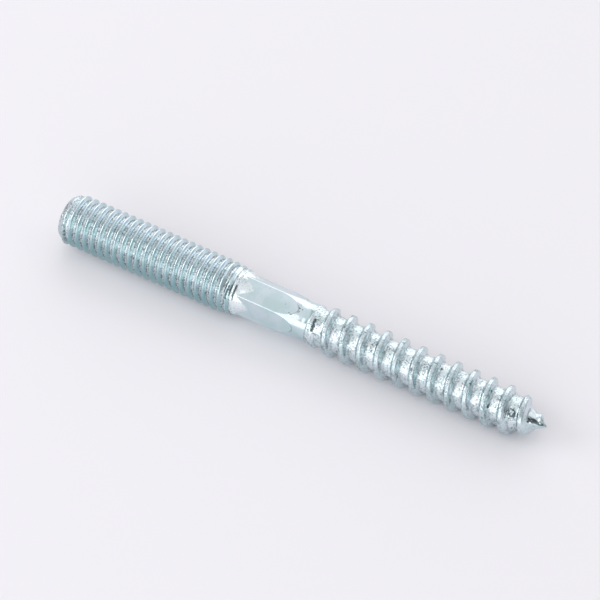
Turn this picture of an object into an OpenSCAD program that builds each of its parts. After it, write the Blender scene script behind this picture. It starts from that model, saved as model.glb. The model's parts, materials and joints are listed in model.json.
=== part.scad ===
// Hanger bolt, lying at rest. One end carries a machine thread, the other a
// wood thread that runs out to a point, and the plain shank between them is
// pressed to a hexagon for a spanner. Millimetres, +Z up, axis along X.

/* [Machine thread] */
// Length from the flat end face to the neck
machine_length = 28.9; // [20:0.1:40]
// Diameter over the crests
machine_diameter = 7.8; // [7.6:0.05:8]
// Distance from one turn to the next
machine_pitch = 1.25; // [1:0.05:1.5]
// Depth from crest to root
machine_depth = 0.75; // [0.5:0.01:0.8]
// Width of the flat crest
machine_crest = 0.18; // [0.1:0.01:0.3]
// Angle round the axis at which the first crest starts
machine_start = 2; // [0:1:359]
// Diameter of the flat end face
end_diameter = 6.1; // [5:0.1:6.6]
// Length of the chamfer from the end face to the full crest
end_chamfer = 1.1; // [0.5:0.1:2]
// Length over which the last turns fade into the neck
machine_fade = 2.6; // [1:0.1:3]

/* [Shank] */
// Diameter of the round shank
shank_diameter = 5.68; // [5.4:0.02:5.68]
// Length of the concave neck between the machine thread and the shank
neck_length = 3; // [2.5:0.1:4.5]
// Length of the shank after the neck, up to the wood thread
shank_length = 9.1; // [8:0.1:14]
// Depth of the edge between the shank and the core of the wood thread
shank_drop = 0.06; // [0.05:0.01:0.12]

/* [Pressed hexagon] */
// Distance across the flats
hex_across_flats = 5.7; // [5.7:0.02:5.9]
// Diameter over the rounded corners
hex_corner_diameter = 6.54; // [6.2:0.02:6.56]
// Length from the machine thread to where the corners start to fade
hex_length = 6.3; // [5:0.1:7.4]
// Length over which the corners fade into the round shank
hex_fade = 3.9; // [1.5:0.1:4.2]
// Turn of the hexagon about the axis
hex_turn = 51; // [0:1:59]

/* [Wood thread] */
// Length from the end of the shank to the point
wood_length = 37.7; // [30:0.1:50]
// Diameter over the crests
wood_diameter = 6.9; // [6.4:0.05:7.2]
// Diameter of the core
core_diameter = 5.15; // [4.6:0.05:5.4]
// Distance from one turn to the next
wood_pitch = 2.85; // [2.4:0.05:3.6]
// Width of the ridge at the crest
ridge_crest = 0.6; // [0.2:0.05:0.8]
// Width of the ridge where it meets the core
ridge_base = 1.4; // [1:0.05:1.8]
// Angle round the axis at which the first turn starts
wood_start = 54; // [0:1:359]
// Length over which the first turn grows to its full height
ridge_growth = 2.4; // [1.5:0.1:4]
// Length over which the core narrows from the shank to its own diameter
core_ease = 3; // [1:0.1:6]
// Length of the conical point of the core
point_length = 4.4; // [3:0.1:8]
// Length over which the crests come down to the point
crest_taper = 6.4; // [5:0.1:10]
// Diameter of the blunt tip of the point
tip_diameter = 0.24; // [0.1:0.02:0.6]

/* [Resolution] */
// Flat sides to one turn of the machine thread
machine_sides = 28; // [24:4:32]
// Flat sides to one turn of the wood thread
wood_sides = 32; // [24:4:36]

/* [Hidden] */

// Depth to which one length of the bolt is carried inside the next.
seat = 1;
// A thread corner that is closer than this to an end joins the end.
corner_margin = 0.02;
// How far the neck stays inside the flat sides of the thread it meets.
neck_step = 0.03;

machine_radius = machine_diameter / 2;
root_radius = machine_radius - machine_depth;
// The bare rod before the thread was rolled, half-way up the thread.
rod_radius = machine_radius - machine_depth / 2;
end_radius = end_diameter / 2;
shank_radius = shank_diameter / 2;
hex_radius = hex_corner_diameter / 2;
wood_radius = wood_diameter / 2;
core_radius = core_diameter / 2;
core_start_radius = shank_radius - shank_drop;
tip_radius = tip_diameter / 2;

// Stations along the axis, from the flat end face at 0.
neck_end = machine_length + neck_length;
shank_end = neck_end + shank_length;
hex_end = machine_length + hex_length;
total_length = shank_end + wood_length;
machine_full_end = machine_length - machine_fade;
wood_full_end = total_length - crest_taper;
point_start = total_length - point_length;

// Share of the way from station a to station b, from 0 to 1.
function share(z, a, b) = max(0, min(1, (z - a) / (b - a)));
function mix(from, to, t) = from + (to - from) * t;

// Radii of the crest and the root of each thread at station z.
function machine_crest_at(z) = z < machine_full_end
  ? min(machine_radius, mix(end_radius, machine_radius, z / end_chamfer))
  : mix(machine_radius, rod_radius, share(z, machine_full_end, machine_length));
function machine_root_at(z) = z < machine_full_end
  ? min(root_radius, machine_crest_at(z))
  : mix(root_radius, rod_radius, share(z, machine_full_end, machine_length));
function wood_root_at(z) = mix(
    mix(core_start_radius, core_radius, share(z, shank_end, shank_end + core_ease)),
    tip_radius, share(z, point_start, total_length)
  );
// The crests come down to the point along a parabola.
function wood_crest_at(z) = let (
    grown = share(z, shank_end, shank_end + ridge_growth),
    down = share(z, wood_full_end, total_length)
  ) mix(mix(core_start_radius, wood_radius, grown), tip_radius, down * down);

// The four corners of one turn, each [axial place, height from 0 to 1],
// with the crest centred on 0.
function corners(crest, base) =
  [[-base / 2, 0], [-crest / 2, 1], [crest / 2, 1], [base / 2, 0]];
machine_base = machine_crest + 2 * machine_depth * tan(30);
machine_corners = corners(machine_crest, machine_base);
wood_corners = corners(ridge_crest, ridge_base);

// A threaded rod from station a to station b. Each column of points runs along
// the rod and holds the corners of every turn, and each column starts a little
// later than the one before, so the edges of the mesh follow the helix. Points
// beyond an end collapse onto it. The flat sides touch the true radius.
// kind 0 is the machine thread and kind 1 the wood thread.
function thread_radius(kind, z, height) = kind == 0
  ? mix(machine_root_at(z), machine_crest_at(z), height)
  : mix(wood_root_at(z), wood_crest_at(z), height);

module thread_rod(kind, a, b, pitch, sides, start, profile) {
  count = len(profile);
  first_turn = floor(a / pitch) - 2;
  last_turn = ceil(b / pitch) + 2;
  rows = (last_turn - first_turn + 1) * count;
  reach = 1 / cos(180 / sides);
  turn_of = function(column) (column + 0.5) / sides;
  station = function(column, row)
    let (turn = first_turn + floor(row / count))
    pitch * (turn + turn_of(column) - start / 360) + profile[row % count][0];
  point = function(column, z, height)
    let (radius = reach * thread_radius(kind, z, height), angle = 360 * turn_of(column))
    [radius * cos(angle), radius * sin(angle), z];
  // Points 0 to sides - 1 are the first end, the next ones the second end.
  index = function(column, row)
    let (z = station(column, row))
    z < a + corner_margin ? column
    : z > b - corner_margin ? sides + column
    : 2 * sides + column * rows + row;
  points = concat(
    [for (column = [0:sides - 1]) point(column, a, 0)],
    [for (column = [0:sides - 1]) point(column, b, 0)],
    [for (column = [0:sides - 1], row = [0:rows - 1])
      point(column, max(a, min(b, station(column, row))), profile[row % count][1])]
  );
  // After a full turn a row meets the same row of the next turn.
  next = function(column, row) column + 1 < sides
    ? index(column + 1, row)
    : index(0, min(rows - 1, row + count));
  triangles = [
    for (column = [0:sides - 1], row = [0:rows - 2])
      let (
        p = index(column, row),
        q = next(column, row),
        r = next(column, row + 1),
        s = index(column, row + 1)
      )
      for (t = [[p, s, q], [q, s, r]])
        if (t[0] != t[1] && t[1] != t[2] && t[0] != t[2]) t
  ];
  end_faces = [
    [for (column = [0:sides - 1]) column],
    [for (column = [sides - 1:-1:0]) sides + column]
  ];
  polyhedron(points, concat(triangles, end_faces), convexity = 10);
}

// The first length: the rolled machine thread with its chamfered end.
module machine_thread() {
  color("LightSteelBlue")
    thread_rod(0, 0, machine_length, machine_pitch, machine_sides, machine_start,
      machine_corners);
}

// The concave neck below the machine thread, an arc that runs out into the shank.
module neck() {
  top = rod_radius - neck_step;
  drop = top - shank_radius;
  arc = (pow(neck_length, 2) + pow(drop, 2)) / (2 * drop);
  color("LightSteelBlue")
    rotate_extrude($fn = 96)
      difference() {
        translate([0, machine_length]) square([top, neck_length]);
        translate([shank_radius + arc, neck_end]) circle(arc, $fn = 360);
      }
}

// The round shank, thicker where the hexagon is pressed into it. The corners
// come down to the shank along an arc.
module shank() {
  drop = hex_radius - shank_radius;
  arc = (pow(hex_fade, 2) + pow(drop, 2)) / (2 * drop);
  color("LightSteelBlue")
    rotate_extrude($fn = 96) {
      translate([0, machine_length - seat]) square([hex_radius, seat + hex_length]);
      translate([0, hex_end]) square([shank_radius, shank_end - hex_end]);
      intersection() {
        translate([0, hex_end]) square([hex_radius, hex_fade]);
        translate([hex_radius - arc, hex_end]) circle(arc, $fn = 720);
      }
    }
}

module pressed_shank() {
  color("LightSteelBlue")
    intersection() {
      shank();
      translate([0, 0, machine_length - 2 * seat])
        rotate([0, 0, hex_turn])
          cylinder(r = hex_across_flats / 2 / cos(30), h = shank_end, $fn = 6);
    }
}

// The last length: the coarse thread and its point.
module wood_thread() {
  color("LightSteelBlue")
    thread_rod(1, shank_end - seat, total_length, wood_pitch, wood_sides, wood_start,
      wood_corners);
}

// The bolt stands on its end face here, with its point up.
module standing_bolt() {
  union() {
    machine_thread();
    neck();
    pressed_shank();
    wood_thread();
  }
}

// It rests on the last full crest of each thread, so it leans a little towards
// the thinner end.
function last_crest(limit, pitch, start) =
  pitch * (floor(limit / pitch + start / 360) - start / 360);
machine_foot = last_crest(machine_full_end, machine_pitch, machine_start);
wood_foot = last_crest(wood_full_end, wood_pitch, wood_start);
lean = atan((machine_radius - wood_radius) / (wood_foot - machine_foot));
axis_height = machine_radius * cos(lean) + machine_foot * sin(lean);

module hanger_bolt() {
  translate([-total_length / 2, 0, axis_height])
    rotate([0, 90 + lean, 0])
      standing_bolt();
}

hanger_bolt();
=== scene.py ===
"""Builds a zinc plated hanger bolt over its frame, and a plain stage round it."""

import json
import math

import bmesh
import bpy
from mathutils import Matrix, Vector, noise


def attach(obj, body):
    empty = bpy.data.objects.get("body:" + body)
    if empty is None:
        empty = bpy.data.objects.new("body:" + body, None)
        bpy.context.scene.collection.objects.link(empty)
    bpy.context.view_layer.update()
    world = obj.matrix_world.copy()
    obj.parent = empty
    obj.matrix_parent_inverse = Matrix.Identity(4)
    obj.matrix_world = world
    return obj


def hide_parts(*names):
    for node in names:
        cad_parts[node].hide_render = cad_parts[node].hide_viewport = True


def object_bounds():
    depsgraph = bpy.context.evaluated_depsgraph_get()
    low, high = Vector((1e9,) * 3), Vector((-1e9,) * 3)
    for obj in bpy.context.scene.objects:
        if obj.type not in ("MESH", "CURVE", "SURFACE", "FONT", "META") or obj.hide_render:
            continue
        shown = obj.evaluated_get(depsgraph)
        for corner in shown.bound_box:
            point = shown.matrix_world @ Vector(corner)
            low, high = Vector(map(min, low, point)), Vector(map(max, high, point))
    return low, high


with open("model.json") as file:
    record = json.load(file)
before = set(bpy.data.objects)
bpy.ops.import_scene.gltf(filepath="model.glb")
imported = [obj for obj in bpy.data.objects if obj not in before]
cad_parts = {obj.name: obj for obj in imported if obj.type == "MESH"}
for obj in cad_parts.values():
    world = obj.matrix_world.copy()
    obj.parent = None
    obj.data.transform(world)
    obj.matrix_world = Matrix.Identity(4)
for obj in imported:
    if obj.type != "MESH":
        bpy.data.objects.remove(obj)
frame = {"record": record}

bl_info = {
    "name": "Hanger Bolt",
    "version": (1, 0, 0),
    "blender": (4, 5, 0),
    "location": "3D View > Sidebar > Hanger Bolt",
    "description": "Builds a zinc plated hanger bolt and a plain stage for it",
    "category": "Object",
}

NODE = "hanger_bolt"
BODY = "root"
MM = 0.001

CAD_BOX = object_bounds()
MOUNTS = {mount["name"]: mount for mount in frame["record"]["mounts"]}
MACHINE = MOUNTS["machine_thread"]["dims"]
WOOD = MOUNTS["wood_thread"]["dims"]


# ---------------------------------------------------------------- properties


def length(name, description, default):
    """A length in metres that a user may change."""
    return bpy.props.FloatProperty(
        name=name, description=description, default=default, min=0.0,
        precision=5, subtype="DISTANCE", unit="LENGTH",
    )


def angle(name, description, degrees):
    """An angle that a user may change, given here in degrees."""
    return bpy.props.FloatProperty(
        name=name, description=description, default=math.radians(degrees),
        subtype="ANGLE", unit="ROTATION",
    )


def colour(name, description, default):
    """A linear RGB colour that a user may change."""
    return bpy.props.FloatVectorProperty(
        name=name, description=description, default=default, size=3, min=0.0, max=1.0,
        subtype="COLOR",
    )


def factor(name, description, default, highest=1.0):
    """A plain number from 0 that a user may change."""
    return bpy.props.FloatProperty(
        name=name, description=description, default=default, min=0.0, max=highest,
        subtype="FACTOR",
    )


class BoltSizes(bpy.types.PropertyGroup):
    """Sizes of the bolt, from its flat end face to its point."""

    machine_length: length("Machine thread length", "From the end face to the neck",
                           MACHINE["length_mm"] * MM)
    machine_radius: length("Machine thread radius", "Over the crests", MACHINE["r_mm"] * MM)
    machine_pitch: length("Machine thread pitch", "From one turn to the next", 1.25 * MM)
    machine_depth: length("Machine thread depth", "From crest to root", 0.75 * MM)
    machine_crest: length("Machine crest width", "Width of the flat crest", 0.18 * MM)
    machine_start: angle("Machine thread start", "Angle at which the first crest starts", 2)
    machine_fade: length("Machine thread fade", "Length over which the last turns fade", 2.6 * MM)
    machine_runout: length("Machine thread runout", "Faint lines that go on into the neck",
                           0.5 * MM)
    end_radius: length("End face radius", "Radius of the flat end face", 3.05 * MM)
    end_chamfer: length("End chamfer", "Length of the chamfer at the end face", 1.1 * MM)
    neck_length: length("Neck length", "Concave neck behind the machine thread", 3.0 * MM)
    shank_radius: length("Shank radius", "Radius of the round shank", 2.84 * MM)
    shank_length: length("Shank length", "From the neck to the wood thread", 9.1 * MM)
    hex_apothem: length("Hexagon apothem", "From the axis to a flat", 2.85 * MM)
    hex_corner: length("Hexagon corner radius", "From the axis to a rounded corner", 3.27 * MM)
    hex_length: length("Hexagon length", "From the machine thread to where the corners fade",
                       6.3 * MM)
    hex_fade: length("Hexagon fade", "Length over which the corners fade", 3.9 * MM)
    hex_turn: angle("Hexagon turn", "Angle of the first corner round the axis", 51)
    wood_length: length("Wood thread length", "From the shank to the point",
                        WOOD["length_mm"] * MM)
    wood_radius: length("Wood thread radius", "Over the crests", WOOD["r_mm"] * MM)
    core_radius: length("Core radius", "Radius of the wood thread's core", 2.575 * MM)
    shank_drop: length("Shank edge", "Step from the shank to the core", 0.06 * MM)
    core_ease: length("Core ease", "Length over which the core narrows", 3 * MM)
    wood_pitch: length("Wood thread pitch", "From one turn to the next", 2.85 * MM)
    ridge_crest: length("Ridge crest", "Width of the wood thread's crest", 0.6 * MM)
    ridge_base: length("Ridge base", "Width of the wood thread's foot", 1.4 * MM)
    wood_start: angle("Wood thread start", "Angle at which the first turn starts", 54)
    ridge_growth: length("Ridge growth", "Length over which the first turn grows", 2.4 * MM)
    lip_height: length("Lip height", "Rolled lip at the start of the wood thread", 0.3 * MM)
    lip_width: length("Lip width", "Width of that lip", 0.5 * MM)
    lip_side: angle("Lip side", "Angle round the axis at which the lip is highest", 175)
    point_length: length("Point length", "Length of the conical point", 4.4 * MM)
    crest_taper: length("Crest taper", "Length over which the crests come down", 6.4 * MM)
    tip_radius: length("Tip radius", "Radius of the blunt tip", 0.12 * MM)


class BoltFinish(bpy.types.PropertyGroup):
    """Colours and roughness of the zinc plate."""

    zinc: colour("Zinc", "Colour of the bright plate", (0.70, 0.78, 0.83))
    bloom: colour("Bloom", "Colour of the blue passivated film", (0.60, 0.73, 0.75))
    # The next colour is the deeper film on the rolled flanks, laid on more heavily low on the front side
    # as painted shade.
    depth: colour("Depth", "Colour of the plate on the rolled flanks", (0.32, 0.52, 0.55))
    # The next colour is painted light: a lighter, bluer tint laid on the upper side.
    painted_light_tint: colour("Haze", "Colour where the film is thin", (0.76, 0.9, 1.0))
    frost: colour("Frost", "Colour of the grainy whitish plate", (0.87, 0.94, 0.97))
    # The next colour lays real scrapes and specks, and also painted shade in the creases and between the
    # crumples.
    pit: colour("Pits", "Colour of the pits and scratches", (0.10, 0.13, 0.14))
    smooth: factor("Smooth roughness", "Roughness of the bright plate", 0.2)
    rough: factor("Frosted roughness", "Roughness of the grainy whitish plate", 0.3)


class StageSettings(bpy.types.PropertyGroup):
    """Camera, lamps and floor."""

    azimuth: angle("Azimuth", "Camera direction round the bolt", 30.8)
    elevation: angle("Elevation", "Camera direction above the floor", 46.6)
    lens: bpy.props.FloatProperty(name="Lens", description="Focal length in millimetres",
                                  default=340.0, min=1.0)
    distance: length("Distance", "From the camera to the bolt's middle", 803 * MM)
    shift_x: bpy.props.FloatProperty(name="Shift X", description="Sideways frame shift",
                                     default=-0.0065, precision=4)
    shift_y: bpy.props.FloatProperty(name="Shift Y", description="Upward frame shift",
                                     default=0.031, precision=4)
    floor: colour("Floor", "Colour of the floor", (0.83, 0.81, 0.845))
    sky: colour("Sky", "Colour of the light from all round", (0.96, 0.98, 1.0))
    sky_level: factor("Sky level", "Strength of the light from all round", 0.5, 4.0)
    back_level: factor("Back level", "Brightness of the wide lamp behind", 1.0, 40.0)
    top_level: factor("Top level", "Brightness of the wide lamp overhead", 0.38, 40.0)
    front_level: factor("Front level", "Brightness of the low lamp in front", 1.25, 40.0)
    side_level: factor("Side level", "Brightness of the lamp beside the end face", 3.0, 40.0)
    far_level: factor("Far level", "Brightness of the lamp beyond the point", 0.6, 40.0)
    near_level: factor("Near level", "Brightness of the lamp above the front lamp", 0.8, 40.0)


# ---------------------------------------------------------------- bolt shape


def share(value, low, high):
    """How far value has come from low to high, from 0 to 1."""
    return max(0.0, min(1.0, (value - low) / (high - low)))


def mix(first, last, amount):
    """The value that stands at a share of the way from first to last."""
    return first + (last - first) * amount


def soft_clamp(value, foot, crest):
    """Limits value to 0 and 1 with rounded corners of the given softness."""
    low = math.hypot(value, foot)
    high = math.hypot(value - 1.0, crest)
    return (low - high + 1.0) / 2.0


class Bolt:
    """The bolt's outline as functions of the station, which runs from the end face."""

    def __init__(self, sizes):
        self.s = sizes
        self.neck_end = sizes.machine_length + sizes.neck_length
        self.shank_end = self.neck_end + sizes.shank_length
        self.hex_end = sizes.machine_length + sizes.hex_length
        self.total = self.shank_end + sizes.wood_length
        self.grip_start = sizes.machine_length + sizes.machine_runout
        self.rod_radius = sizes.machine_radius - sizes.machine_depth / 2
        self.machine_full = sizes.machine_length - sizes.machine_fade
        self.core_start = sizes.shank_radius - sizes.shank_drop
        neck_drop = self.rod_radius - sizes.shank_radius
        self.neck_arc = (sizes.neck_length ** 2 + neck_drop ** 2) / (2 * neck_drop)
        fade_drop = sizes.hex_corner - sizes.shank_radius
        self.fade_arc = (sizes.hex_fade ** 2 + fade_drop ** 2) / (2 * fade_drop)

    def machine(self, turn, z, lift):
        """Radius of the machine thread where it stands at a share of its height."""
        s = self.s
        if z > s.machine_length:
            left = 1.0 - share(z, s.machine_length, s.machine_length + s.machine_runout)
            return self.neck(z) + RUNOUT_DEPTH * left * (2 * lift - 1)
        fade = share(z, self.machine_full, s.machine_length)
        crest = min(s.machine_radius, mix(s.end_radius, s.machine_radius, z / s.end_chamfer))
        depth = s.machine_depth * share(z, START_FADE * s.end_chamfer, START_FULL * s.end_chamfer)
        crest_now = mix(crest, self.rod_radius + RUNOUT_DEPTH, fade)
        root_now = mix(crest - depth, self.rod_radius - RUNOUT_DEPTH, fade)
        groove = LAST_GROOVE * fade * share(lift, 0.8, 1.0)
        return mix(root_now, crest_now, lift) - groove

    def lip(self, turn, z):
        """Height of the rolled lip at the start of the wood thread."""
        s = self.s
        off = (z - self.shank_end - s.lip_width / 2) / s.lip_width
        side = (1.0 + math.cos(turn - s.lip_side)) / 2
        rag = 1.0 + 0.35 * noise.noise(Vector((3 * math.cos(turn), 3 * math.sin(turn), 7.0)))
        return s.lip_height * math.exp(-2.0 * off * off) * side * rag

    def wood(self, turn, z, lift):
        """Radius of the wood thread where it stands at a share of its height."""
        s = self.s
        ease = share(z, self.shank_end, self.shank_end + s.core_ease)
        point = share(z, self.total - s.point_length, self.total)
        root = mix(mix(self.core_start, s.core_radius, ease), s.tip_radius, point)
        grown = share(z, self.shank_end, self.shank_end + s.ridge_growth)
        down = share(z, self.total - s.crest_taper, self.total)
        crest = mix(mix(self.core_start, s.wood_radius, grown), s.tip_radius, down * down)
        root += self.lip(turn, z) if z > self.shank_end else 0.0
        return mix(root, max(root, crest), lift)

    def neck(self, z):
        """Radius of the concave neck."""
        left = self.neck_end - z
        return self.s.shank_radius + self.neck_arc - math.sqrt(self.neck_arc ** 2 - left ** 2)

    def neck_station(self, radius):
        """Station at which the neck has come down to a radius."""
        rise = self.neck_arc - (radius - self.s.shank_radius)
        return self.neck_end - math.sqrt(self.neck_arc ** 2 - rise ** 2)

    def fade(self, z):
        """Radius of the arc on which the hexagon's corners come down to the shank."""
        run = z - self.hex_end
        return self.s.hex_corner - self.fade_arc + math.sqrt(self.fade_arc ** 2 - run ** 2)

    def fade_station(self, radius):
        """Station at which that arc has come down to a radius."""
        rise = radius - self.s.hex_corner + self.fade_arc
        return self.hex_end + math.sqrt(max(0.0, self.fade_arc ** 2 - rise ** 2))

    def hexagon(self, turn):
        """Radius of the pressed hexagon, with its rounded corners, at an angle."""
        side = math.radians(60)
        off = (turn - self.s.hex_turn) % side - side / 2
        return min(self.s.hex_corner, self.s.hex_apothem / math.cos(off))


# ---------------------------------------------------------------- mesh


COLUMNS_PER_SIDE = 20
SIDES = 6
CORNER_PACKING = 0.5
RIDGE_PACKING = 0.7
CORNER_MARGIN = 0.02 * MM
MACHINE_ROWS = 16
WOOD_ROWS = 24
GRIP_ROWS = (12, 30, 12)

# Shares of the chamfer's length between which the first groove sinks in.
START_FADE = 0.2
START_FULL = 1.5

# Shares of the machine thread's height, and of its flank that keeps the deeper film colour with its
# painted shade.
MACHINE_ROOT_ROUNDING = 0.06
CREST_ROUNDING = 0.3
ROOT_LINES = 0.05
BRIGHT_SHARE = 0.62
THREAD_HALF_ANGLE = math.radians(30)

# Shares of the ridge's height.
RIDGE_FOOT_ROUNDING = 0.2
RIDGE_CREST_ROUNDING = 0.08

# Angles round the axis, with their spreads, in degrees, of the painted light on the upper side and the
# painted shade low on the front side.
PAINTED_LIGHT_SIDE = (178, 24)
PAINTED_SHADE_SIDE = (276, 28)

RUNOUT_DEPTH = 0.1 * MM
LAST_GROOVE = 0.09 * MM
PLAIN_END = 1.3 * MM
CORE_END = 1.4 * MM
POINT_LENGTH = 3.4 * MM

# Grain, frost, painted shade lines with specks in the creases, and depth of film colour that also carries
# painted side shade, from 0 to 1.
PLAIN = (1.0, 0.6, 0.35, 0.75)
NECK = (0.2, 1.0, 0.0, 0.0)
NECK_EDGE = 0.65
FLAT = (0.0, 0.0, 0.0, 0.25)
SHANK = (0.1, 0.0, 0.0, 0.3)
BURR = (0.3, 0.0, 0.75, 0.0)
CORNER = (0.2, 0.9, 0.0, 0.0)
CORNER_REACH = 0.998
BURR_REACH = 1.045
CORE = (1.0, 0.5, 0.05, 0.2)
POINT = (0.4, 0.3, 0.1, 0.15)
MACHINE_FLANK = (0.1, 0.0, 0.0, 1.0)
MACHINE_ROOT = (0.6, 0.9, 0.08, 0.2)
RIDGE_FLANK = (0.6, 0.4, 0.1, 0.32)
RIDGE_TOP = (1.0, 0.3, 0.25, 0.35)

# How far the painted shade lines lie past the film, the crest and the foot, and how wide they are.
MACHINE_SHADE_LINE = (0.05 * MM, 0.09 * MM)
RIDGE_SHADE_LINE = (0.12 * MM, 0.11 * MM)
FOOT_SHADE_LINE = (0.15 * MM, 0.2 * MM)

# Relief of the rolled steel: how deep it is in the mesh, and in the plate's grain and creases.
ROLLED_RELIEF = 0.03 * MM
ROLLED_SPACING = 1.1 * MM
SPECK_RELIEF = 0.03 * MM
CRUMPLE_RELIEF = 0.06 * MM


def column_angles(first):
    """Angles of the mesh's columns, closer together near the hexagon's corners."""
    side = 2 * math.pi / SIDES
    angles = []
    for corner in range(SIDES):
        for step in range(COLUMNS_PER_SIDE):
            t = step / COLUMNS_PER_SIDE
            warped = t - CORNER_PACKING * math.sin(2 * math.pi * t) / (2 * math.pi)
            angles.append(first + side * (corner + warped))
    return angles


def bell(value, middle, width):
    """A smooth bump of height 1 round the middle."""
    return math.exp(-(((value - middle) / width) ** 2))


def side_light_and_shade(turn):
    """How much of the deeper film colour with its painted shade, and how much painted light, a point gets
    at an angle round the axis, from 0 to 1. The shade gathers low on the front side and the light on the
    upper side.
    """
    degrees = math.degrees(turn) % 360
    painted_light = bell(degrees, *PAINTED_LIGHT_SIDE)
    return 0.5 - 0.5 * painted_light + 0.5 * bell(degrees, *PAINTED_SHADE_SIDE), painted_light


class Skin:
    """A closed skin of points round the bolt's axis, kept as (angle, station, radius).

    The finish of a point is its grain, its frost, its painted shade lines and dark specks in the creases,
    and its depth of film colour with its painted side shade and light, from 0 to 1.
    """

    def __init__(self, angles):
        self.angles = angles
        self.points = []
        self.finishes = []
        self.faces = []

    def add(self, turn, station, radius, finish):
        """Adds a point with its finish, and gives its number."""
        grain, frost, crease_shade_and_specks, film_and_shade = finish
        soot = max(flaw.at(turn, station) for flaw in FLAWS)
        self.points.append((turn, station, radius))
        # Depth of film colour is weighted round the axis: painted shade low on the front side, painted
        # light on the upper side.
        shade_round, painted_light = side_light_and_shade(turn)
        self.finishes.append((grain, frost, crease_shade_and_specks, film_and_shade * shade_round, film_and_shade * painted_light, soot))
        return len(self.points) - 1

    def ring(self, station, radius, finish):
        """A ring of points, one for each column."""
        return [self.add(turn, station, radius, finish) for turn in self.angles]

    def face(self, corners):
        """A face, unless so many of its corners coincide that nothing is left."""
        kept = list(dict.fromkeys(corners))
        if len(kept) > 2:
            self.faces.append(kept)

    def sew(self, columns, turn_rows=0):
        """Faces between neighbouring columns. After a full turn a row meets a later one."""
        count = len(columns)
        for number, column in enumerate(columns):
            wraps = number + 1 == count
            following = columns[(number + 1) % count]
            shift = turn_rows if wraps else 0
            last = len(following) - 1
            for row in range(len(column) - 1):
                low = min(last, row + shift)
                high = min(last, row + shift + 1)
                self.face((column[row], following[low], following[high], column[row + 1]))

    def thread(self, start_ring, end_ring, low, high, pitch, start, knots, radii, ends):
        """A threaded length between two rings, with rows that follow the helix.

        ends holds the finish up to a station, and the finish beyond another.
        """
        (early, early_end), (late, late_start) = ends
        first = math.floor(low / pitch) - 2
        last = math.ceil(high / pitch) + 2
        columns = []
        for number, turn in enumerate(self.angles):
            column = []
            for lap in range(first, last + 1):
                for offset, lift, finish in knots:
                    station = pitch * (lap + (turn - start) / (2 * math.pi)) + offset
                    if station < low + CORNER_MARGIN:
                        column.append(start_ring[number])
                    elif station > high - CORNER_MARGIN:
                        column.append(end_ring[number])
                    else:
                        radius = radii(turn, station, lift)
                        if station < early_end:
                            finish = early
                        elif station > late_start:
                            finish = late
                        column.append(self.add(turn, station, radius, finish))
            columns.append(column)
        self.sew(columns, len(knots))

    def cap(self, ring, station, outward):
        """Closes a ring with a fan of triangles."""
        centre = self.add(0.0, station, 0.0, PLAIN)
        for number, point in enumerate(ring):
            pair = (point, ring[(number + 1) % len(ring)])
            self.face((*(pair if outward else reversed(pair)), centre))


def machine_knots(s):
    """Offsets, heights and finishes of one turn of the machine thread."""
    run = s.machine_depth * math.tan(THREAD_HALF_ANGLE)
    crest = s.machine_crest / 2
    reach = crest + run
    border = crest + BRIGHT_SHARE * run
    knots = []
    for row in range(MACHINE_ROWS):
        offset = s.machine_pitch * ((row + 0.5) / MACHINE_ROWS - 0.5)
        height = soft_clamp((reach - abs(offset)) / run, MACHINE_ROOT_ROUNDING, CREST_ROUNDING)
        height += ROOT_LINES * (1.0 - height) * math.cos(math.pi * row / 2)
        if -crest < offset < border:
            finish = MACHINE_FLANK
        else:
            line, width = MACHINE_SHADE_LINE
            grain, frost, crease_shade_and_specks, film_and_shade = MACHINE_ROOT
            # A painted shade line in the root, just past the flank.
            crease_shade_and_specks = mix(crease_shade_and_specks, 1.0, bell(offset, border + line, width))
            finish = (grain, frost, crease_shade_and_specks, film_and_shade)
        knots.append((offset, height, finish))
    return knots


def wood_knots(s):
    """Offsets, heights and finishes of one turn of the wood thread."""
    run = (s.ridge_base - s.ridge_crest) / 2
    crest = s.ridge_crest / 2
    reach = s.ridge_base / 2
    knots = []
    for row in range(WOOD_ROWS):
        t = (row + 0.5) / WOOD_ROWS - 0.5
        warped = t - RIDGE_PACKING * math.sin(2 * math.pi * t) / (2 * math.pi)
        offset = s.wood_pitch * warped
        height = soft_clamp((reach - abs(offset)) / run, RIDGE_FOOT_ROUNDING, RIDGE_CREST_ROUNDING)
        if crest < offset < reach:
            finish = RIDGE_FLANK
        elif abs(offset) < crest:
            finish = RIDGE_TOP
        else:
            # Painted shade lines at the ridge's foot and just past its crest.
            foot = bell(offset, reach + FOOT_SHADE_LINE[0], FOOT_SHADE_LINE[1])
            edge = bell(offset, -crest - RIDGE_SHADE_LINE[0], RIDGE_SHADE_LINE[1])
            grain, frost, crease_shade_and_specks, film_and_shade = CORE
            finish = (grain, frost, max(edge, 0.6 * foot, crease_shade_and_specks), film_and_shade)
        knots.append((offset, height, finish))
    return knots


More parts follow.
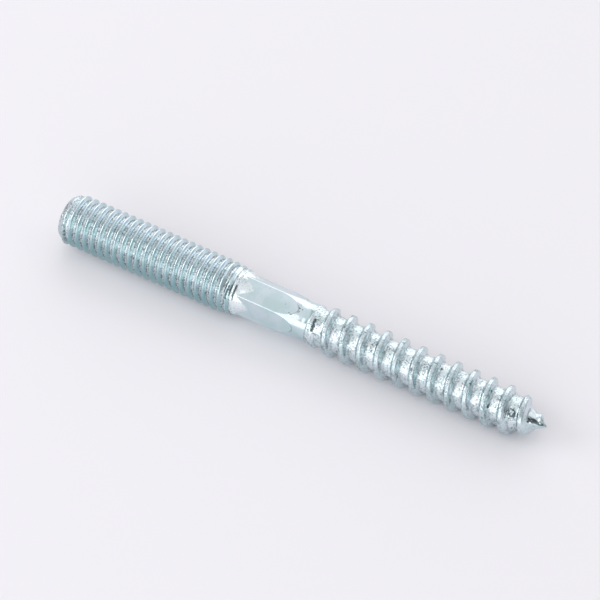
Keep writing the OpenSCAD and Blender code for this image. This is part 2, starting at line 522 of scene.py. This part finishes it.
def grip(skin, bolt, start_ring, end_ring):
    """The neck, the pressed hexagon and the shank. Rows follow the edges of the flats."""
    s = bolt.s
    step_start = bolt.shank_end - s.shank_drop
    columns = []
    for number, turn in enumerate(skin.angles):
        flat = bolt.hexagon(turn)
        flat_start = bolt.neck_station(flat)
        flat_end = bolt.fade_station(flat)
        column = [start_ring[number]]
        rows = GRIP_ROWS[0]
        for row in range(1, rows + 1):
            z = mix(bolt.grip_start, flat_start, row / rows)
            frost = mix(NECK[1], NECK_EDGE, row / rows)
            column.append(skin.add(turn, z, bolt.neck(z), (NECK[0], frost, 0.0, 0.0)))
        rows = GRIP_ROWS[1]
        for row in range(1, rows):
            z = mix(flat_start, flat_end, row / rows)
            column.append(skin.add(turn, z, flat, CORNER if flat > CORNER_REACH * s.hex_corner else FLAT))
        rows = GRIP_ROWS[2]
        fade_end = bolt.hex_end + s.hex_fade
        for row in range(rows + 1):
            z = mix(flat_end, fade_end, row / rows)
            finish = BURR if row == 0 and flat < s.shank_radius * BURR_REACH else SHANK
            column.append(skin.add(turn, z, bolt.fade(z), finish))
        for z in (mix(fade_end, step_start, 0.5), step_start):
            column.append(skin.add(turn, z, s.shank_radius, SHANK))
        column.append(end_ring[number])
        columns.append(column)
    skin.sew(columns)


def bolt_skin(bolt):
    """The whole skin, from the end face to the point."""
    s = bolt.s
    skin = Skin(column_angles(s.hex_turn))
    end_ring = skin.ring(0.0, s.end_radius, PLAIN)
    neck_ring = skin.ring(bolt.grip_start, bolt.neck(bolt.grip_start), NECK)
    core_ring = skin.ring(bolt.shank_end, bolt.core_start, CORE)
    tip_ring = skin.ring(bolt.total, s.tip_radius, POINT)
    machine_ends = (PLAIN, PLAIN_END), (NECK, bolt.grip_start)
    wood_ends = (CORE, bolt.shank_end + CORE_END), (POINT, bolt.total - POINT_LENGTH)
    skin.cap(end_ring, 0.0, False)
    skin.thread(end_ring, neck_ring, 0.0, bolt.grip_start, s.machine_pitch,
                s.machine_start, machine_knots(s), bolt.machine, machine_ends)
    grip(skin, bolt, neck_ring, core_ring)
    skin.thread(core_ring, tip_ring, bolt.shank_end, bolt.total, s.wood_pitch,
                s.wood_start, wood_knots(s), bolt.wood, wood_ends)
    skin.cap(tip_ring, bolt.total, True)
    return skin


def placement():
    """Matrix that takes the standing bolt to where the frame's bolt lies."""
    mount = MOUNTS["end_face"]
    along = -Vector(mount["axis"]).normalized()
    side = Vector((0, 1, 0))
    down = side.cross(along)
    turned = Matrix((down, side, along)).transposed().to_4x4()
    return Matrix.Translation(mount["pos_m"]) @ turned


def grain_depth(point, grain):
    """How far the rolled steel stands proud of its true shape or falls short of it."""
    coarse = noise.fractal(point / ROLLED_SPACING, 0.9, 2.1, 4)
    return ROLLED_RELIEF * grain ** 4 * coarse


FINISHES = ("grain", "frost", "crease_shade_and_specks", "film_and_shade", "painted_light", "soot")


class Flaw:
    """A dark scrape or pit, given by its middle station, its angle and its half sizes.

    Lengths are in millimetres and the angle in degrees. The half width runs round the
    radius at which the flaw lies.
    """

    def __init__(self, station, turn, half_length, half_width, strength, radius=2.6):
        self.station = station * MM
        self.turn = math.radians(turn)
        self.half_length = half_length * MM
        self.half_width = half_width / radius
        self.strength = strength

    def at(self, turn, station):
        """Strength of the flaw at a point of the skin, which fades round its half sizes."""
        off = (turn - self.turn + math.pi) % (2 * math.pi) - math.pi
        far = math.hypot((station - self.station) / self.half_length, off / self.half_width)
        return self.strength * share(far, 1.3, 0.5)


FLAWS = (
    Flaw(73.95, 225, 1.05, 1.1, 0.6),
    Flaw(74.4, 229, 0.4, 0.35, 0.9),
    Flaw(77.2, 221, 1.25, 0.5, 0.9, 1.3),
    Flaw(67.0, 195, 0.25, 0.6, 0.65),
    Flaw(70.0, 190, 0.25, 0.3, 0.65),
    Flaw(70.5, 232, 0.16, 0.5, 0.8),
    Flaw(51.4, 224, 0.13, 0.32, 0.9),
    Flaw(53.3, 212, 0.12, 0.3, 0.8),
    Flaw(61.9, 183, 0.15, 0.5, 0.9),
    Flaw(44.1, 151, 0.15, 0.2, 0.9),
    Flaw(47.3, 137, 0.25, 0.2, 1.0),
    Flaw(50.1, 137, 0.35, 0.15, 0.9),
    Flaw(41.9, 210, 0.22, 0.6, 1.0, 2.9),
    Flaw(42.05, 225, 0.24, 0.6, 1.0, 2.9),
    Flaw(41.98, 238, 0.2, 0.35, 1.0, 2.9),
    Flaw(38.0, 219, 0.13, 0.13, 1.0, 3.0),
    Flaw(38.7, 219, 0.7, 0.4, 0.4, 3.0),
    Flaw(39.1, 203, 0.13, 0.35, 0.7, 2.9),
    Flaw(39.0, 191, 0.13, 0.13, 0.9, 2.9),
    Flaw(30.9, 203, 0.6, 0.15, 0.55, 3.0),
    Flaw(29.2, 225, 0.17, 1.5, 1.0, 3.4),
    Flaw(28.65, 224, 0.14, 1.5, 1.0, 3.4),
    Flaw(28.25, 231, 0.17, 1.3, 1.0, 3.4),
    Flaw(27.75, 222, 0.16, 1.2, 1.0, 3.5),
)


def make_bolt_mesh(bolt):
    """The skin as a smooth mesh where the bolt lies, with its finishes as attributes."""
    skin = bolt_skin(bolt)
    bm = bmesh.new()
    layers = [bm.verts.layers.float.new(name) for name in FINISHES]
    verts = []
    for turn, station, radius in skin.points:
        verts.append(bm.verts.new((radius * math.cos(turn), radius * math.sin(turn), station)))
    for corners in skin.faces:
        bm.faces.new([verts[corner] for corner in corners])
    for vert, finish in zip(verts, skin.finishes):
        for layer, value in zip(layers, finish):
            vert[layer] = value
    loose = [vert for vert in verts if not vert.link_faces]
    bmesh.ops.delete(bm, geom=loose, context="VERTS")
    bm.normal_update()
    for vert in bm.verts:
        vert.co += vert.normal * grain_depth(vert.co, vert[layers[0]])
    bm.transform(placement())
    mesh = bpy.data.meshes.new("hanger_bolt_skin")
    bm.to_mesh(mesh)
    bm.free()
    mesh.polygons.foreach_set("use_smooth", [True] * len(mesh.polygons))
    return mesh


# ---------------------------------------------------------------- material


class Nodes:
    """Short calls that add shader nodes and link them."""

    def __init__(self, tree):
        self.tree = tree
        tree.nodes.clear()

    def add(self, kind, values=None, links=None, **settings):
        """A node with its settings, its sockets' values and its links."""
        node = self.tree.nodes.new(kind)
        for name, value in settings.items():
            setattr(node, name, value)
        for name, value in (values or {}).items():
            node.inputs[name].default_value = value
        for name, output in (links or {}).items():
            self.tree.links.new(output, node.inputs[name])
        return node

    def noise(self, position, scale, detail, distortion=0.0):
        """Noise of a scale, which is larger where the noise is finer."""
        node = self.add("ShaderNodeTexNoise", {
            "Scale": scale, "Detail": detail, "Roughness": 0.5, "Distortion": distortion,
        }, {"Vector": position})
        return node.outputs["Fac"]

    def ramp(self, value, low, high, to_low=0.0, to_high=1.0):
        """A straight rise from low to high, level beyond them."""
        node = self.add("ShaderNodeMapRange", {
            "From Min": low, "From Max": high, "To Min": to_low, "To Max": to_high,
        }, {"Value": value}, clamp=True)
        return node.outputs["Result"]

    def maths(self, operation, first, second):
        """The result of an operation on two outputs or numbers."""
        node = self.add("ShaderNodeMath", operation=operation)
        for socket, value in zip(node.inputs, (first, second)):
            if isinstance(value, (int, float)):
                socket.default_value = value
            else:
                self.tree.links.new(value, socket)
        return node.outputs["Value"]

    def blend(self, amount, first, second):
        """A colour between two colours or outputs."""
        node = self.add("ShaderNodeMix", data_type="RGBA")
        self.tree.links.new(amount, node.inputs["Factor"])
        for name, value in (("A", first), ("B", second)):
            socket = next(i for i in node.inputs if i.name == name and i.type == "RGBA")
            if isinstance(value, (tuple, list)):
                socket.default_value = (*value, 1.0)
            else:
                self.tree.links.new(value, socket)
        return next(o for o in node.outputs if o.type == "RGBA")

    def bump(self, height, distance, normal=None):
        """Relief of a depth, over another relief if one is given."""
        links = {"Height": height}
        if normal is not None:
            links["Normal"] = normal
        node = self.add("ShaderNodeBump", {"Distance": distance, "Strength": 1.0}, links)
        return node.outputs["Normal"]


def zinc_material(finish):
    """Bright zinc plate: smooth on the grip, frosted in the roots, pitted on the core, with painted shade
    along the creases and the crumples, painted shade low on the front side and painted light on the upper
    side.
    """
    material = bpy.data.materials.new("zinc_plate")
    material.use_nodes = True
    n = Nodes(material.node_tree)
    position = n.add("ShaderNodeTexCoord").outputs["Object"]
    grain, frost, crease_shade_and_specks, film_and_shade, painted_light, soot = (
        n.add("ShaderNodeAttribute", attribute_name=name).outputs["Fac"] for name in FINISHES
    )

    cloud = n.noise(position, 420.0, 3.0)
    speck = n.noise(position, 3800.0, 1.0)
    crumple = n.noise(position, 1900.0, 2.0, 1.2)
    patchy = n.noise(position, 700.0, 2.0)
    film = n.ramp(cloud, 0.42, 0.58)
    colour_now = n.blend(film, tuple(finish.zinc), tuple(finish.bloom))
    # Deeper film colour, laid on more heavily low on the front side as painted shade; then a lighter,
    # bluer tint on the upper side as painted light.
    colour_now = n.blend(film_and_shade, colour_now, tuple(finish.depth))
    colour_now = n.blend(painted_light, colour_now, tuple(finish.painted_light_tint))
    frosted = n.maths("MULTIPLY", frost, n.ramp(speck, 0.4, 0.5))
    frosted = n.maths("MAXIMUM", frosted, n.maths("SUBTRACT", frost, grain))
    colour_now = n.blend(frosted, colour_now, tuple(finish.frost))
    beads = n.maths("MULTIPLY", n.maths("MULTIPLY", frost, grain), n.ramp(speck, 0.4, 0.34))
    # Dark lines and pits on the crumpled core are painted reflection: the dark that the crumples would
    # mirror, laid into the colour.
    crumple_shade_line = n.ramp(n.maths("ABSOLUTE", n.maths("SUBTRACT", crumple, 0.5), 0.0), 0.055, 0.035)
    crumple_shade_lines = n.maths("MULTIPLY", crumple_shade_line, n.ramp(patchy, 0.52, 0.61, 0.05, 0.75))
    pits = n.maths("MULTIPLY", n.maths("MAXIMUM", crumple_shade_lines, n.ramp(crumple, 0.32, 0.26)), grain)
    worn = n.maths("ADD", speck, n.maths("MULTIPLY", soot, 0.55))
    scrape = n.ramp(worn, 0.78, 0.82)
    # Painted shade lines in the creases of the threads, broken up by specks; on the crests and the burr
    # the same mask lays dark specks.
    shaded_creases = n.maths("MULTIPLY", crease_shade_and_specks, n.ramp(speck, 0.6, 0.44, 0.45, 1.0))
    # The dark colour takes real scrapes, specks and beads, and the painted shade and painted reflection
    # above.
    dark = n.maths("MAXIMUM", n.maths("MAXIMUM", pits, beads), scrape)
    dark = n.maths("MAXIMUM", dark, shaded_creases)
    colour_now = n.blend(dark, colour_now, tuple(finish.pit))

    roughness = n.add("ShaderNodeMix", data_type="FLOAT")
    n.tree.links.new(frosted, roughness.inputs["Factor"])
    roughness.inputs["A"].default_value = finish.smooth
    roughness.inputs["B"].default_value = finish.rough

    relief = n.ramp(grain, 0.2, 1.0, 0.03, 1.0)
    fine = n.bump(n.maths("MULTIPLY", speck, relief), SPECK_RELIEF)
    normal = n.bump(n.maths("MULTIPLY", crumple, relief), CRUMPLE_RELIEF, fine)
    shader = n.add("ShaderNodeBsdfPrincipled", {"Metallic": 1.0}, {
        "Base Color": colour_now, "Roughness": roughness.outputs["Result"], "Normal": normal,
    })
    n.add("ShaderNodeOutputMaterial", links={"Surface": shader.outputs["BSDF"]})
    return material


def floor_material(settings):
    """A plain pale floor."""
    material = bpy.data.materials.new("floor")
    material.use_nodes = True
    n = Nodes(material.node_tree)
    shader = n.add("ShaderNodeBsdfPrincipled", {
        "Base Color": (*settings.floor, 1.0), "Roughness": 0.9,
    })
    n.add("ShaderNodeOutputMaterial", links={"Surface": shader.outputs["BSDF"]})
    return material


# ---------------------------------------------------------------- stage


LAMP_DISTANCE = 0.9
FLOOR_REACH = 3.0


def direction(azimuth, elevation):
    """Unit vector from the bolt, with the azimuth round it and the elevation above the floor."""
    level = math.cos(elevation)
    return Vector((math.sin(azimuth) * level, -math.cos(azimuth) * level, math.sin(elevation)))


def lamp(name, aim, azimuth, elevation, width, height, level):
    """A soft rectangular lamp that faces aim from a direction given in degrees."""
    towards = direction(math.radians(azimuth), math.radians(elevation))
    data = bpy.data.lights.new(name, "AREA")
    data.shape = "RECTANGLE"
    data.size, data.size_y = width, height
    data.energy = level * math.pi * width * height
    rig = bpy.data.objects.new(name, data)
    rig.location = aim + towards * LAMP_DISTANCE
    rig.rotation_mode = "QUATERNION"
    rig.rotation_quaternion = towards.to_track_quat("Z", "Y")
    bpy.context.scene.collection.objects.link(rig)


def make_camera(settings, aim):
    """The scene's camera."""
    towards = direction(settings.azimuth, settings.elevation)
    data = bpy.data.cameras.new("camera")
    data.lens = settings.lens
    data.shift_x, data.shift_y = settings.shift_x, settings.shift_y
    camera = bpy.data.objects.new("camera", data)
    camera.location = aim + towards * settings.distance
    camera.rotation_mode = "QUATERNION"
    camera.rotation_quaternion = towards.to_track_quat("Z", "Y")
    bpy.context.scene.collection.objects.link(camera)
    bpy.context.scene.camera = camera


def make_world(settings):
    """An even light from all round."""
    world = bpy.data.worlds.new("studio")
    world.use_nodes = True
    n = Nodes(world.node_tree)
    background = n.add("ShaderNodeBackground", {
        "Color": (*settings.sky, 1.0), "Strength": settings.sky_level,
    })
    n.add("ShaderNodeOutputWorld", links={"Surface": background.outputs["Background"]})
    bpy.context.scene.world = world


def make_floor(settings):
    """A wide flat floor under the bolt."""
    bm = bmesh.new()
    bmesh.ops.create_grid(bm, x_segments=1, y_segments=1, size=FLOOR_REACH)
    mesh = bpy.data.meshes.new("floor")
    bm.to_mesh(mesh)
    bm.free()
    floor = bpy.data.objects.new("floor", mesh)
    floor.location.z = CAD_BOX[0].z
    mesh.materials.append(floor_material(settings))
    bpy.context.scene.collection.objects.link(floor)


# ---------------------------------------------------------------- operators


class HANGERBOLT_OT_bolt(bpy.types.Operator):
    """Build the plated bolt over the frame's plain one"""

    bl_idname = "hangerbolt.bolt"
    bl_label = "Build bolt"

    def execute(self, context):
        bolt = Bolt(context.scene.hangerbolt_sizes)
        piece = bpy.data.objects.new("plated_bolt", make_bolt_mesh(bolt))
        piece.data.materials.append(zinc_material(context.scene.hangerbolt_finish))
        context.scene.collection.objects.link(piece)
        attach(piece, BODY)
        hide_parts(NODE)
        return {"FINISHED"}


class HANGERBOLT_OT_stage(bpy.types.Operator):
    """Add the floor, the lamps and the camera"""

    bl_idname = "hangerbolt.stage"
    bl_label = "Build stage"

    def execute(self, context):
        settings = context.scene.hangerbolt_stage
        low, high = CAD_BOX
        aim = (low + high) / 2
        context.scene.view_settings.view_transform = "Standard"
        make_floor(settings)
        make_world(settings)
        make_camera(settings, aim)
        lamp("back_lamp", aim, 195, 28, 1.3, 0.85, settings.back_level)
        lamp("top_lamp", aim, -50, 76, 1.5, 1.2, settings.top_level)
        lamp("front_lamp", aim, 5, 15, 1.6, 0.6, settings.front_level)
        lamp("side_lamp", aim, -64, 30, 0.55, 0.45, settings.side_level)
        lamp("far_lamp", aim, 125, 45, 0.7, 0.5, settings.far_level)
        lamp("near_lamp", aim, -4, 47, 0.35, 0.4, settings.near_level)
        return {"FINISHED"}


class HANGERBOLT_PT_panel(bpy.types.Panel):
    """Sizes, finish and stage of the hanger bolt"""

    bl_label = "Hanger Bolt"
    bl_idname = "HANGERBOLT_PT_panel"
    bl_space_type = "VIEW_3D"
    bl_region_type = "UI"
    bl_category = "Hanger Bolt"

    def draw(self, context):
        groups = (
            (context.scene.hangerbolt_sizes, HANGERBOLT_OT_bolt.bl_idname),
            (context.scene.hangerbolt_finish, None),
            (context.scene.hangerbolt_stage, HANGERBOLT_OT_stage.bl_idname),
        )
        for group, operator in groups:
            box = self.layout.box()
            for name in group.__annotations__:
                box.prop(group, name)
            if operator:
                box.operator(operator)


CLASSES = (
    BoltSizes, BoltFinish, StageSettings,
    HANGERBOLT_OT_bolt, HANGERBOLT_OT_stage, HANGERBOLT_PT_panel,
)


def register():
    for cls in CLASSES:
        bpy.utils.register_class(cls)
    pointer = bpy.props.PointerProperty
    bpy.types.Scene.hangerbolt_sizes = pointer(type=BoltSizes)
    bpy.types.Scene.hangerbolt_finish = pointer(type=BoltFinish)
    bpy.types.Scene.hangerbolt_stage = pointer(type=StageSettings)


def unregister():
    del bpy.types.Scene.hangerbolt_stage
    del bpy.types.Scene.hangerbolt_finish
    del bpy.types.Scene.hangerbolt_sizes
    for cls in reversed(CLASSES):
        bpy.utils.unregister_class(cls)


def main():
    register()
    bpy.ops.hangerbolt.bolt()
    bpy.ops.hangerbolt.stage()


if __name__ == "__main__":
    main()
